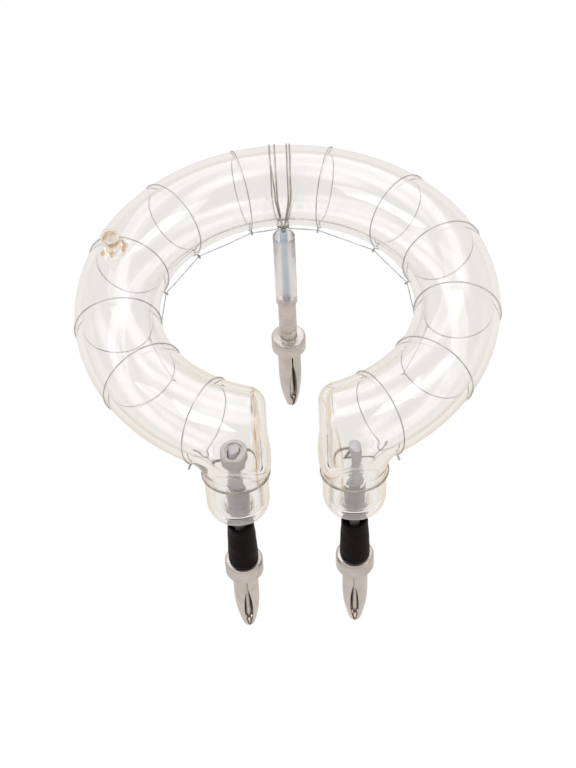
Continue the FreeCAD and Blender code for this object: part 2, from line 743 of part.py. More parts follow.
def trigger_binding():
    """Strands over the back of the ring, from the eye on the rod to a twist behind the post."""
    eye_height = post_top + size("eye_height") / 2
    below = ring_plane - eye_height
    ring = size("ring_radius")
    post = post_back
    knot = size("knot_angle")
    turn_radius = size("tube_radius") + size("strand_radius") + size("strand_gap")
    pieces = []
    for number, (offset, end_angle) in enumerate(BINDING_STRANDS, start=1):
        # The strand leans from the eye to its own place over the tube
        slope = size("strand_pitch") * offset / (ring - post)
        lean_cosine = measure(1) / root(slope * slope + 1)
        near = post * lean_cosine
        across = root(near * near + ring * ring - post * post) - near
        reach = root(across * across + below * below)
        finish = size(end_angle)
        finish_x = (cosine(finish) * across - sine(finish) * below) / reach
        finish_y = -(cosine(finish) * below + sine(finish) * across) / reach
        strand = binding_strand(f"binding_strand_{number}", turn_radius, reach,
                                finish_x, finish_y)
        swing = math.degrees(math.atan2(below.value, across.value))
        lean = math.degrees(math.atan(-slope.value))
        turn = Rotation(Vector(0, 0, 1), 90 + lean) * Rotation(Vector(0, 1, 0), -swing)
        eye = Vector(0, post.value, eye_height.value)
        strand.Placement = Placement(eye - turn.multVec(Vector(-reach.value, 0, 0)), turn)
        pieces.append(strand)
    eye = primitive("Part::Cylinder", "binding_eye", Radius=size("eye_radius"),
                    Height=size("eye_height"))
    place(eye, y=post, z=post_top)
    pieces.append(eye)
    twist = primitive("Part::Cylinder", "binding_twist", Radius=size("twist_radius"),
                      Height=size("twist_length"))
    twist_reach = (turn_radius + runner_reach()) / 2
    twist.Placement.Rotation = Rotation(Vector(0, 0, 1), Vector(1, 0, 0))
    place(twist, -(size("twist_length") / 2), ring + cosine(knot) * twist_reach,
          ring_plane - sine(knot) * twist_reach)
    pieces.append(twist)
    return combine("Part::MultiFuse", "trigger_binding", pieces)


def leg_tie(name, side, rise):
    """Doubled wire round a leg, with a twisted tail on the outer side."""
    strand = size("strand_radius")
    tilt = size("tie_tilt")
    # A leaning ring needs a larger radius to clear the leg
    lean_room = strand * sine(tilt) * 2
    around = size("leg_radius") / cosine(tilt) + strand + size("wire_gap") + lean_room
    height = lip_plane + rise
    flank = strand * FLAT_REACH
    corners = []
    for across, up in ((0, -2), (1, -1.5), (1, -0.5), (0.5, 0), (1, 0.5), (1, 1.5),
                       (0, 2), (-1, 1.5), (-1, 0.5), (-0.5, 0), (-1, -0.5), (-1, -1.5)):
        corners.append((around + flank * across, strand * up))
    ring = turned(name + "_ring", corners)
    ring.Placement.Rotation = Rotation(Vector(-1, 0, 0), tilt.value)
    bind(ring, "Placement.Rotation.Angle", tilt)
    place(ring, leg_side * side, leg_back, height)
    tail = primitive("Part::Prism", name + "_tail", Circumradius=size("tie_tail_radius"),
                     Height=size("tie_tail"))
    tail.Polygon = FLATS
    heading = Vector(side * TAIL_HEADING[0], TAIL_HEADING[1], TAIL_HEADING[2])
    flat = Vector(heading.x, heading.y, 0).normalize()
    reach = around + size("tie_tail_sink")
    tail.Placement.Rotation = Rotation(Vector(0, 0, 1), heading)
    place(tail, leg_side * side + reach * flat.x, leg_back + reach * flat.y,
          height - reach * flat.y * sine(tilt))
    return combine("Part::MultiFuse", name, (ring, tail))


def build():
    nodes = [glass_envelope(), cathode_pellet()]
    cathode_top = ring_plane - size("pellet_depth") + size("rod_button")
    anode_top = ring_plane - size("anode_depth")
    nodes.append(seal_bead("cathode_seal", size("cathode_rod_radius"), -1))
    nodes.append(seal_bead("anode_seal", size("anode_rod_radius"), 1))
    nodes.append(electrode_rod("cathode_rod", size("cathode_rod_radius"), cathode_top, -1))
    nodes.append(electrode_rod("anode_rod", size("anode_rod_radius"), anode_top, 1))
    nodes.append(black_sleeve("cathode_sleeve", -1))
    nodes.append(black_sleeve("anode_sleeve", 1))
    spots = {"cathode": (-leg_side, leg_back), "anode": (leg_side, leg_back),
             "trigger": (None, post_back)}
    for word, (x, y) in spots.items():
        nodes.append(plug_body(word + "_plug", x, y))
        nodes.append(plug_spring(word + "_plug_spring", x, y, PLUG_TURNS[word]))
    nodes.extend(trigger_post())
    for number, angle in enumerate(LEFT_TURNS + RIGHT_TURNS, start=1):
        last = angle in (LEFT_TURNS[-1], RIGHT_TURNS[-1])
        knot = size("last_knot_angle") if last else size("knot_angle")
        nodes.append(trigger_turn(f"trigger_turn_{number:02d}", angle, knot.value))
    nodes.append(trigger_runner("trigger_runner_left", LEFT_TURNS[:-1]))
    nodes.append(trigger_runner("trigger_runner_right", RIGHT_TURNS[:-1]))
    nodes.append(trigger_binding())
    nodes.append(leg_tie("cathode_tie", -1, size("cathode_tie_rise")))
    nodes.append(leg_tie("anode_tie", 1, size("anode_tie_rise")))
    doc.recompute()
    return nodes


def check(nodes):
    """Stop if an object failed or a sub-part has no good shape."""
    for item in doc.Objects:
        if "Invalid" in item.State or "Error" in item.State:
            raise RuntimeError(f"{item.Label} failed: {item.State}")
    for node in nodes:
        if node.Shape.isNull() or not node.Shape.isValid():
            raise RuntimeError(f"{node.Label} has no valid shape")


def write(nodes):
    os.makedirs("parts", exist_ok=True)
    for node in nodes:
        node.Shape.exportStep(os.path.join("parts", node.Label + ".step"))
        print(f"{node.Label}: {len(node.Shape.Solids)} solid, {node.Shape.Volume:.2f} mm3")


sub_parts = build()
check(sub_parts)
write(sub_parts)
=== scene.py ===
import math
import random
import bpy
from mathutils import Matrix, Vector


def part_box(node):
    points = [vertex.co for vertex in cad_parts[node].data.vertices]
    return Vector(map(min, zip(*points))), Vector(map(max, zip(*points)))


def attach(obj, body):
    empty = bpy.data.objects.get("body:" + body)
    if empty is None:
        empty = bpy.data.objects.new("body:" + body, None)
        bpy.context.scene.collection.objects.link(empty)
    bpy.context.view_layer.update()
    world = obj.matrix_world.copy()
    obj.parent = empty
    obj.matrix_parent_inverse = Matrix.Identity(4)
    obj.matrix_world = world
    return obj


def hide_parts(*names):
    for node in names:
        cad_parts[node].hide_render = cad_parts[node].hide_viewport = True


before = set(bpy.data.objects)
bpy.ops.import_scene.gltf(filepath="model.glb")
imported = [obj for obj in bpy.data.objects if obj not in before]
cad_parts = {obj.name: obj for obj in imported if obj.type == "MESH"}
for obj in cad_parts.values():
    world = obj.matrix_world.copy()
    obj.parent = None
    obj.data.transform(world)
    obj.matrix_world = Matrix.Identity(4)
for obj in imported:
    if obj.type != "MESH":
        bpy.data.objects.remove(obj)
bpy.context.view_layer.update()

from types import SimpleNamespace

import bmesh
import bpy
import numpy as np
from bpy.props import FloatProperty, FloatVectorProperty, PointerProperty
from mathutils import Matrix, Vector

bl_info = {
    "name": "Ring flash tube",
    "version": (1, 0, 0),
    "blender": (4, 5, 0),
    "location": "View3D > Sidebar > Flash tube",
    "description": "Builds the glass, wires and plugs of a ring flash tube on its CAD frame",
    "category": "Add Mesh",
}

MM = 0.001
BODY = "root"
# Ending that tells a finish from the plain material of its CAD slot
FINISH = "_finish"
# Places round the ring in degrees: the post, and the wire's turns outwards from it
BACK = 90
LEFT_TURNS = (104.8, 133, 160, 188, 212.8, 241)
RIGHT_TURNS = (74, 45, 19.5, -8.5, -36, -61.5)


def centre_of(node):
    """Middle of a CAD node's box, in millimetres."""
    low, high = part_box(node)
    return (low + high) / 2 / MM


def span_of(node):
    """Lowest and highest point of a CAD node, in millimetres."""
    low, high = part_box(node)
    return low.z / MM, high.z / MM


CATHODE = centre_of("cathode_plug")
ANODE = centre_of("anode_plug")
POST = centre_of("trigger_plug")


def length_property(name, size, description):
    """Length with a default in millimetres."""
    return FloatProperty(name=name, default=size * MM, description=description, unit="LENGTH")


def angle_property(name, degrees, description):
    """Angle with a default in degrees."""
    return FloatProperty(name=name, default=math.radians(degrees), description=description,
                         subtype="ANGLE")


def colour_property(name, colour, description):
    """Colour of a finish."""
    return FloatVectorProperty(name=name, default=colour, description=description,
                               subtype="COLOR", size=3, min=0, max=1)


class GlassSizes(bpy.types.PropertyGroup):
    """Sizes of the blown ring, its legs and its exhaust tip."""
    ring_radius: length_property("Ring radius", 30.7, "Ring axis to the centre of the tube")
    tube_radius: length_property("Tube radius", 7.7, "Outside radius of the glass tube")
    wall: length_property("Wall", 1.2, "Thickness of the glass")
    plane: length_property("Ring height", 55.4, "Pin tips to the plane of the ring")
    half_gap: length_property("Half gap", 4.45, "Middle of the gap to a flat end")
    end_round: length_property("End rounding", 2.7, "Rounding of the flat ends")
    leg_radius: length_property("Leg radius", 5.55, "Outside radius of a leg")
    lip_height: length_property("Lip height", 38.05, "Pin tips to the lip of a leg")
    foot_height: length_property("Foot height", 36.6, "Pin tips to the end of a leg's bowl")
    bowl_depth: length_property("Bowl depth", 4.2, "Depth of the bowl that closes a leg")
    leg_blend: length_property("Leg blend", 2.2, "How softly a leg runs into the ring")
    tip_angle: angle_property("Tip angle", 165, "Place of the exhaust tip round the ring")
    tip_tilt: angle_property("Tip tilt", 81, "Place of the exhaust tip on the tube")
    cell: length_property("Cell", 0.55, "Mesh size of the glass")


class WireSizes(bpy.types.PropertyGroup):
    """Sizes of the trigger wire and the bindings."""
    radius: length_property("Trigger wire", 0.105, "Radius of the trigger wire")
    strand: length_property("Binding wire", 0.14, "Radius of the wire in the bindings")
    knot_angle: angle_property("Knot angle", 145, "Outside of the ring down to the knots")
    cathode_tie: length_property("Left tie", 9.95, "The left leg's lip to its tie")
    anode_tie: length_property("Right tie", 8.9, "The right leg's lip to its tie")
    tie_tilt: angle_property("Tie tilt", 11, "Lean of a tie, which is lower at the back")


class FinishColours(bpy.types.PropertyGroup):
    """Colours of the finishes."""
    nickel: colour_property("Nickel", (0.60, 0.545, 0.50), "Plated plugs and ferrule")
    rod: colour_property("Rods", (0.56, 0.56, 0.575), "Electrode rods")
    post: colour_property("Post", (0.60, 0.71, 0.80), "Rod of the trigger post")
    sleeve: colour_property("Shrink sleeve", (0.0030, 0.0012, 0.0010), "Black sleeves")
    wire: colour_property("Wire", (0.52, 0.50, 0.48), "Trigger wire")
    binding: colour_property("Binding", (0.46, 0.42, 0.375), "Bindings and ties")


def plain_sizes(group):
    """A group's sizes as plain numbers, in millimetres and degrees."""
    values = {}
    for name, kind in group.bl_rna.properties.items():
        if kind.type == "FLOAT":
            value = getattr(group, name)
            values[name] = math.degrees(value) if kind.subtype == "ANGLE" else value / MM
    return SimpleNamespace(**values)


def glass_sizes():
    """Sizes of the glass, in millimetres and degrees."""
    return plain_sizes(bpy.context.scene.flash_tube_glass)


def wire_sizes():
    """Sizes of the wires, in millimetres and degrees."""
    return plain_sizes(bpy.context.scene.flash_tube_wires)


def colours():
    """Colours of the finishes."""
    return bpy.context.scene.flash_tube_colours


def shares(steps):
    """Numbers from 0 to 1 in even steps."""
    return [step / steps for step in range(steps + 1)]


def held(value):
    """A number kept between 0 and 1."""
    return min(max(value, 0), 1)


# Materials

BLACK = (0.0, 0.0, 0.0)
WHITE = (1.0, 1.0, 1.0)
GOLD = (0.98, 0.94, 0.86)
AMBER = (0.62, 0.33, 0.10)
# Light that a ray gets when it is caught in the glass, and when that is
CAUGHT_LIGHT = (0.86, 0.825, 0.78)
MOST_MIRRORINGS = 2.5
MOST_CROSSINGS = 8.5
# Stretch of the marks on a metal: along a rod, or round it
ALONG = (1, 1, 0.1)
AROUND = (0.1, 0.1, 1)
# Painted brown reflection on the edges of the clear glass, in millimetres: where it begins and
# where it is strongest, from the middle of the ring to its front
BROWN_START = -11.25
BROWN_FULL = -23.75
# The exhaust tip's stain: its middle above the tip's foot, its reach and its lowest height
STAIN_RISE = 0.2
STAIN_REACH = 5.0
STAIN_FLOOR = 63.8
# The melted ends: depth behind a flat end, where they begin to the front, and lowest height
MELT_DEPTH = 4.0
MELT_FRONT = -18.0
MELT_FLOOR = 47.0
# The right end's amber line: its slant, and its shift at the middle of the ring
SLANT = 0.33
SLANT_SHIFT = 10.92


class NodeKit:
    """Short calls that add and join the nodes of one material or world."""

    def __init__(self, owner):
        owner.use_nodes = True
        self.owner = owner
        self.nodes = owner.node_tree.nodes
        self.links = owner.node_tree.links

    def new(self, kind):
        """New shader node."""
        return self.nodes.new("ShaderNode" + kind)

    def put(self, source, socket):
        """Link a socket, or set it to a plain value; a colour has three numbers."""
        if isinstance(source, bpy.types.NodeSocket):
            self.links.new(source, socket)
        elif socket.type == "RGBA":
            socket.default_value = (*source, 1.0)
        else:
            socket.default_value = source

    def place(self, space):
        """Place in a space as one vector, and as X, Y and Z."""
        vector = self.new("TexCoord").outputs[space]
        split = self.new("SeparateXYZ")
        self.put(vector, split.inputs["Vector"])
        return vector, split.outputs

    def noise(self, scale, detail, stretch=(1, 1, 1)):
        """Noise in the object's own space, in metres."""
        mapping = self.new("Mapping")
        texture = self.new("TexNoise")
        self.put(self.new("TexCoord").outputs["Object"], mapping.inputs["Vector"])
        self.put(stretch, mapping.inputs["Scale"])
        self.put(mapping.outputs["Vector"], texture.inputs["Vector"])
        self.put(scale, texture.inputs["Scale"])
        self.put(detail, texture.inputs["Detail"])
        return texture.outputs["Fac"]

    def ramp(self, source, *stops):
        """Colour ramp over a value, from (position, colour) stops."""
        mapper = self.new("ValToRGB")
        elements = mapper.color_ramp.elements
        while len(elements) < len(stops):
            elements.new(1.0)
        for element, (position, colour) in zip(elements, stops):
            element.position = position
            element.color = (*colour, 1.0)
        self.put(source, mapper.inputs["Fac"])
        return mapper.outputs["Color"]

    def blend(self, kind, factor, first, second):
        """Two colours mixed in the given way, by a number or a socket."""
        mixer = self.new("Mix")
        mixer.data_type = "RGBA"
        mixer.blend_type = kind
        for number, source in ((0, factor), (6, first), (7, second)):
            self.put(source, mixer.inputs[number])
        return mixer.outputs[2]

    def sum(self, kind, *terms):
        """Result of one sum on numbers or sockets."""
        step = self.new("Math")
        step.operation = kind
        for source, socket in zip(terms, step.inputs):
            self.put(source, socket)
        return step.outputs[0]

    def vector_sum(self, kind, first, second):
        """Number that comes from two vectors."""
        step = self.new("VectorMath")
        step.operation = kind
        self.put(first, step.inputs[0])
        self.put(second, step.inputs[1])
        return step.outputs["Value"]

    def fade(self, source, start, stop):
        """Share of the way from start to stop in millimetres, kept between 0 and 1."""
        reach = (stop - start) * MM
        share = self.sum("MULTIPLY_ADD", source, 1 / reach, -start * MM / reach)
        share.node.use_clamp = True
        return share

    def seen_rays(self):
        """One where the camera sees it, straight on, in a mirror or through glass."""
        paths = self.new("LightPath").outputs
        straight = self.sum("MAXIMUM", paths["Is Camera Ray"], paths["Is Glossy Ray"])
        return self.sum("MAXIMUM", straight, paths["Is Transmission Ray"])

    def either(self, factor, first, second, output):
        """Show the first shader where the factor is 0, and the second where it is 1."""
        mix = self.new("MixShader")
        for source, socket in zip((factor, first, second), mix.inputs):
            self.put(source, socket)
        self.put(mix.outputs["Shader"], output)


class Finish(NodeKit):
    """Nodes of one finish, round its principled shader."""

    def __init__(self, name):
        super().__init__(bpy.data.materials.new(name + FINISH))
        self.shader = self.nodes["Principled BSDF"]
        self.surface = self.nodes["Material Output"].inputs["Surface"]

    def set(self, socket, source):
        """Set or link an input of the shader."""
        self.put(source, self.shader.inputs[socket])

    def bump(self, height, depth, strength):
        """Relief with a depth in millimetres."""
        bump = self.new("Bump")
        self.put(height, bump.inputs["Height"])
        self.put(depth * MM, bump.inputs["Distance"])
        self.put(strength, bump.inputs["Strength"])
        self.set("Normal", bump.outputs["Normal"])


def grey(value):
    """Colour with three equal parts."""
    return (value, value, value)


def shaded(colour, share):
    """A colour made darker or lighter."""
    return tuple(min(value * share, 1) for value in colour)


def glass_finish(name, tint):
    """Clear glass. Rays caught in the wall end in the studio's pale light, not in black."""
    kit = Finish(name)
    kit.set("Base Color", tint)
    kit.set("Transmission Weight", 1.0)
    kit.set("Roughness", 0.0)
    kit.set("IOR", 1.47)
    paths = kit.new("LightPath").outputs
    mirrored = kit.sum("GREATER_THAN", paths["Glossy Depth"], MOST_MIRRORINGS)
    crossed = kit.sum("GREATER_THAN", paths["Ray Depth"], MOST_CROSSINGS)
    caught = kit.new("Emission")
    kit.put(CAUGHT_LIGHT, caught.inputs["Color"])
    kit.either(kit.sum("MAXIMUM", mirrored, crossed), kit.shader.outputs["BSDF"],
               caught.outputs["Emission"], kit.surface)
    return kit


def tint_glass(kit, tint):
    """Tint the glass where light enters it, and not inside it."""
    behind = kit.new("NewGeometry").outputs["Backfacing"]
    kit.set("Base Color", kit.blend("MIX", behind, tint, WHITE))


def tint_and_painted_edge_shade(kit, axes):
    """The glass's tint, with painted shade that darkens it at grazing edges, and a painted brown
    reflection on the front of the ring.
    """
    weight = kit.new("LayerWeight")
    kit.put(0.35, weight.inputs["Blend"])
    facing = weight.outputs["Facing"]
    # Painted shade: the glass turns darker towards its grazing edges
    edge = kit.ramp(facing, (0.0, (0.925, 0.912, 0.892)), (0.3, (0.925, 0.91, 0.888)),
                    (0.5, (0.915, 0.892, 0.862)), (0.7, (0.84, 0.79, 0.73)),
                    (1.0, (0.45, 0.38, 0.32)))
    # Painted brown reflection of darker surroundings at the edges, faded in towards the front
    brown = kit.ramp(facing, (0.45, WHITE), (0.66, (0.86, 0.70, 0.50)),
                     (1.0, (0.55, 0.34, 0.17)))
    return kit.blend("MULTIPLY", kit.fade(axes["Y"], BROWN_START, BROWN_FULL), edge, brown)


def tip_tint(kit, place, axes, tint):
    """The tint with gold round the exhaust tip, and blotches of rust near its neck."""
    foot, outward = tip_axes(glass_sizes())
    middle = (foot + outward * STAIN_RISE) * MM
    away = kit.fade(kit.vector_sum("DISTANCE", place, middle), 0, STAIN_REACH)
    blotches = kit.ramp(kit.noise(scale=620.0, detail=2.0),
                        (0.42, (1.0, 0.97, 0.92)), (0.56, (0.52, 0.26, 0.10)))
    rust = kit.ramp(away, (0.30, BLACK), (0.36, WHITE), (0.48, WHITE), (0.56, BLACK))
    gold = kit.ramp(away, (0.40, GOLD), (0.90, GOLD), (0.96, WHITE))
    raised = kit.sum("GREATER_THAN", axes["Z"], STAIN_FLOOR * MM)
    tint = kit.blend("MULTIPLY", raised, tint, gold)
    return kit.blend("MULTIPLY", rust, tint, blotches)


def end_tint(kit, axes, tint):
    """The tint with a broken amber line behind each flat end, slanting on the right."""
    half_gap = glass_sizes().half_gap
    slant = kit.sum("MULTIPLY_ADD", axes["Y"], SLANT, SLANT_SHIFT * MM)
    slant = kit.sum("MULTIPLY", slant, kit.sum("GREATER_THAN", axes["X"], 0.0))
    side = kit.sum("ADD", kit.sum("ABSOLUTE", axes["X"]), slant)
    inward = kit.fade(side, half_gap, half_gap + MELT_DEPTH)
    band = kit.ramp(inward, (0.0, (0.99, 0.965, 0.93)), (0.43, (0.98, 0.94, 0.88)),
                    (0.475, AMBER), (0.51, AMBER), (0.56, WHITE))
    front = kit.sum("LESS_THAN", axes["Y"], MELT_FRONT * MM)
    above = kit.sum("GREATER_THAN", axes["Z"], MELT_FLOOR * MM)
    blobs = kit.ramp(kit.noise(scale=260.0, detail=3.0, stretch=(1, 0.6, 0.6)),
                     (0.40, grey(0.12)), (0.60, WHITE))
    melted = kit.sum("MULTIPLY", kit.sum("MULTIPLY", front, above), blobs)
    return kit.blend("MULTIPLY", melted, tint, band)


def clear_glass():
    """Fire-polished glass with painted shade and a painted brown reflection at its edges,
    stained at its exhaust tip and its melted ends.
    """
    kit = glass_finish("clear_glass", WHITE)
    place, axes = kit.place("Object")
    tint = tip_tint(kit, place, axes, tint_and_painted_edge_shade(kit, axes))
    tint_glass(kit, end_tint(kit, axes, tint))
    return kit.owner


def seal_glass():
    """Glass melted on to a rod, with streaks of amber."""
    kit = glass_finish("seal_glass", (0.98, 0.97, 0.95))
    streaks = kit.noise(scale=350.0, detail=4.0, stretch=(1, 1, 0.3))
    tint_glass(kit, kit.ramp(streaks, (0.4, (0.95, 0.94, 0.93)), (0.7, (0.92, 0.86, 0.78))))
    return kit.owner


def plating(name, colour, roughness, marks, stretch, metallic=1.0):
    """Plated metal with faint stains, fine turning marks and uneven gloss."""
    kit = Finish(name)
    kit.set("Metallic", metallic)
    kit.set("Base Color", kit.ramp(kit.noise(scale=380.0, detail=5.0),
                                   (0.3, shaded(colour, 1 - marks * 2.5)),
                                   (0.65, shaded(colour, 1 + marks))))
    kit.set("Roughness", kit.ramp(kit.noise(scale=900.0, detail=3.0, stretch=stretch),
                                  (0.3, grey(roughness * 0.7)),
                                  (0.75, grey(roughness * 1.4))))
    lines = kit.noise(scale=1500.0, detail=2.0, stretch=stretch)
    kit.bump(lines, depth=0.04, strength=0.35)
    return kit.owner


def sintered_metal():
    """Sintered metal: dull, with a fine grain."""
    kit = Finish("sintered_metal")
    kit.set("Metallic", 0.3)
    kit.set("Roughness", 0.62)
    grain = kit.noise(scale=2600.0, detail=6.0)
    kit.set("Base Color", kit.ramp(grain, (0.3, (0.52, 0.49, 0.47)), (0.7, (0.72, 0.68, 0.655))))
    kit.bump(grain, depth=0.08, strength=0.6)
    return kit.owner


def black_shrink():
    """Heat-shrunk sleeve: matte, with fine wrinkles that run round it."""
    kit = Finish("black_shrink")
    base = colours().sleeve
    kit.set("Specular IOR Level", 0.06)
    wrinkles = kit.noise(scale=420.0, detail=5.0, stretch=(0.6, 0.6, 1.6))
    kit.set("Base Color", kit.ramp(wrinkles, (0.35, base), (0.75, shaded(base, 2.2))))
    kit.set("Roughness", kit.ramp(wrinkles, (0.3, grey(0.42)), (0.7, grey(0.6))))
    kit.bump(wrinkles, depth=0.12, strength=0.5)
    return kit.owner


def milky_sleeve():
    """Milky insulating sleeve: the rod inside shows as a pale core."""
    kit = Finish("milky_sleeve")
    kit.set("Roughness", 0.34)
    kit.set("IOR", 1.15)
    kit.set("Transmission Weight", 0.88)
    cloud = kit.noise(scale=240.0, detail=3.0, stretch=(1, 1, 0.3))
    kit.set("Base Color", kit.ramp(cloud, (0.3, (0.98, 0.955, 0.945)),
                                   (0.7, (0.995, 0.98, 0.975))))
    kit.bump(cloud, depth=0.06, strength=0.3)
    return kit.owner


def drawn_wire(name, colour):
    """Drawn wire with dull and bright lengths."""
    kit = Finish(name)
    roughness = 0.38
    kit.set("Metallic", 0.85)
    tarnish = kit.noise(scale=520.0, detail=4.0)
    kit.set("Base Color", kit.ramp(tarnish, (0.35, shaded(colour, 0.7)),
                                   (0.7, shaded(colour, 1.35))))
    kit.set("Roughness", kit.ramp(tarnish, (0.3, grey(roughness * 0.8)),
                                  (0.8, grey(roughness * 1.3))))
    return kit.owner


def finish(name):
    """The material of that name, made once."""
    if name + FINISH in bpy.data.materials:
        return bpy.data.materials[name + FINISH]
    tints = colours()
    makers = {
        "clear_glass": clear_glass,
        "seal_glass": seal_glass,
        "sintered_metal": sintered_metal,
        "black_shrink": black_shrink,
        "milky_sleeve": milky_sleeve,
        "rod_metal": lambda: plating(name, tints.rod, 0.5, 0.04, ALONG, metallic=0.35),
        "post_metal": lambda: plating(name, tints.post, 0.45, 0.03, ALONG),
        "ferrule_plating": lambda: plating(name, tints.nickel, 0.3, 0.05, AROUND),
        "plug_plating": lambda: plating(name, tints.nickel, 0.34, 0.06, AROUND),
        "spring_plating": lambda: plating(name, tints.nickel, 0.3, 0.05, ALONG),
        "trigger_wire": lambda: drawn_wire(name, tints.wire),
        "binding_wire": lambda: drawn_wire(name, tints.binding),
    }
    return makers[name]()


# Pieces

def seat(piece, slot, *replaced):
    """Give a piece its finish, let it ride on the lamp, and let it stand for CAD nodes."""
    piece.data.materials.clear()
    piece.data.materials.append(finish(slot))
    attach(piece, BODY)
    if replaced:
        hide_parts(*replaced)
    return piece


def new_piece(name, mesh):
    """New object in the scene."""
    piece = bpy.data.objects.new(name, mesh)
    bpy.context.scene.collection.objects.link(piece)
    return piece


def shade_smooth(mesh, crisp=None):
    """Shade a mesh smooth, but for edges that turn by more than so many degrees."""
    mesh.polygons.foreach_set("use_smooth", [True] * len(mesh.polygons))
    if crisp:
        mesh.set_sharp_from_angle(angle=math.radians(crisp))


def softened_copy(name, node, slot, edge):
    """Copy of a CAD node with rounded edges and smooth shading, which stands for the node."""
    same_point = 0.002 * MM
    same_plane = math.radians(0.5)
    crisp = 35
    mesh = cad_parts[node].data.copy()
    mesh.name = name
    work = bmesh.new()
    work.from_mesh(mesh)
    bmesh.ops.remove_doubles(work, verts=work.verts, dist=same_point)
    bmesh.ops.dissolve_limit(work, angle_limit=same_plane, verts=work.verts, edges=work.edges)
    edges = [item for item in work.edges if len(item.link_faces) == 2
             and item.calc_face_angle(0) > math.radians(crisp)]
    bmesh.ops.bevel(work, geom=edges, offset=edge * MM, segments=2, affect="EDGES",
                    profile=0.5, clamp_overlap=True)
    work.to_mesh(mesh)
    work.free()
    shade_smooth(mesh, crisp)
    return seat(new_piece(name, mesh), slot, node)


# Shape of the glass in millimetres, beside GlassSizes. The legs: lip to the widest part of
# the bowl, and the roundings of a foot, of a hollow's floor and of both at the ring's plane
SHOULDER_RISE = 2.4
FOOT_ROUND = 0.5
FLOOR_ROUND = 2.2
LEG_TOP_ROUND = 3.0
HOLLOW_TOP_ROUND = 2.0
# The exhaust tip's rods with round ends: middle above its foot, half length and radius
TIP_NECK = (0.6, 1.8, 1.15)
TIP_BULB = (2.72, 0.0, 1.68)
TIP_BORE = (-0.9, 1.5, 0.55)
# How softly the bulb runs into the neck, the tip into the ring, and the bore into the hollow
BULB_BLEND = 0.8
TIP_BLEND = 2.0
BORE_BLEND = 0.5
# Distance over which a slope is measured
SLOPE_STEP = 0.02


def smooth_union(first, second, blend):
    """Signed distance to two shapes that run softly into each other."""
    overlap = np.maximum(blend - np.abs(first - second), 0) / blend
    return np.minimum(first, second) - overlap * overlap * blend / 4


def round_intersection(first, second, radius):
    """Signed distance to what two shapes share, with a rounded edge."""
    inner = np.minimum(np.maximum(first, second) + radius, 0)
    outer = np.hypot(np.maximum(first + radius, 0), np.maximum(second + radius, 0))
    return inner + outer - radius


def round_rod(radial, height, middle, half, radius):
    """Signed distance to a straight rod with round ends."""
    return np.hypot(radial, np.maximum(np.abs(height - middle) - half, 0)) - radius


def ring_distance(points, sizes):
    """Signed distance to the outside of the ring, open in front, with flat rounded ends."""
    across = np.hypot(points[:, 0], points[:, 1]) - sizes.ring_radius
    tube = np.hypot(across, points[:, 2] - sizes.plane) - sizes.tube_radius
    end = np.where(points[:, 1] < 0, sizes.half_gap - np.abs(points[:, 0]), -sizes.ring_radius)
    return round_intersection(tube, end, sizes.end_round)


def leg_distances(points, sizes):
    """Signed distances to a leg and its hollow: a bowl closes the leg below."""
    radial = np.hypot(np.abs(points[:, 0]) - ANODE.x, points[:, 1] - ANODE.y)
    side = radial - sizes.leg_radius
    shoulder = sizes.lip_height + SHOULDER_RISE
    down = np.minimum(points[:, 2] - shoulder, 0) / sizes.bowl_depth * sizes.leg_radius
    bowl = np.hypot(radial, down) - sizes.leg_radius
    leg = round_intersection(bowl, sizes.foot_height - points[:, 2], FOOT_ROUND)
    floor = sizes.lip_height + sizes.wall - points[:, 2]
    hollow = round_intersection(side + sizes.wall, floor, FLOOR_ROUND)
    top = points[:, 2] - sizes.plane
    return (round_intersection(leg, top, LEG_TOP_ROUND),
            round_intersection(hollow, top, HOLLOW_TOP_ROUND))


def tip_axes(sizes):
    """Foot and direction of the exhaust tip."""
    turn = math.radians(sizes.tip_angle)
    tilt = math.radians(sizes.tip_tilt)
    outward = Vector((math.cos(turn) * math.cos(tilt), math.sin(turn) * math.cos(tilt),
                      math.sin(tilt)))
    centre = Vector((math.cos(turn) * sizes.ring_radius, math.sin(turn) * sizes.ring_radius,
                     sizes.plane))
    return centre + outward * sizes.tube_radius, outward


def tip_distances(points, sizes):
    """Signed distances to the outside of the exhaust tip and to its bore."""
    foot, outward = tip_axes(sizes)
    away = points - np.array(foot)
    height = away @ np.array(outward)
    radial = np.sqrt(np.maximum((away * away).sum(1) - height * height, 0))
    neck = round_rod(radial, height, *TIP_NECK)
    bulb = round_rod(radial, height, *TIP_BULB)
    return smooth_union(neck, bulb, BULB_BLEND), round_rod(radial, height, *TIP_BORE)


def glass_distance(points, sizes):
    """Signed distance to the blown glass: its outside, less its hollow."""
    ring = ring_distance(points, sizes)
    leg, leg_hollow = leg_distances(points, sizes)
    tip, tip_bore = tip_distances(points, sizes)
    outside = smooth_union(smooth_union(ring, leg, sizes.leg_blend), tip, TIP_BLEND)
    hollow = smooth_union(ring + sizes.wall, leg_hollow, sizes.leg_blend)
    return np.maximum(outside, -smooth_union(hollow, tip_bore, BORE_BLEND))


def sample_field(distance, axes):
    """Signed distances at all points of a grid."""
    shape = tuple(len(axis) for axis in axes)
    field = np.empty(shape, np.float32)
    plane = np.stack(np.meshgrid(axes[1], axes[2], indexing="ij"), -1).reshape(-1, 2)
    for number, x in enumerate(axes[0]):
        points = np.column_stack((np.full(len(plane), x), plane))
        field[number] = distance(points).reshape(shape[1:])
    return field


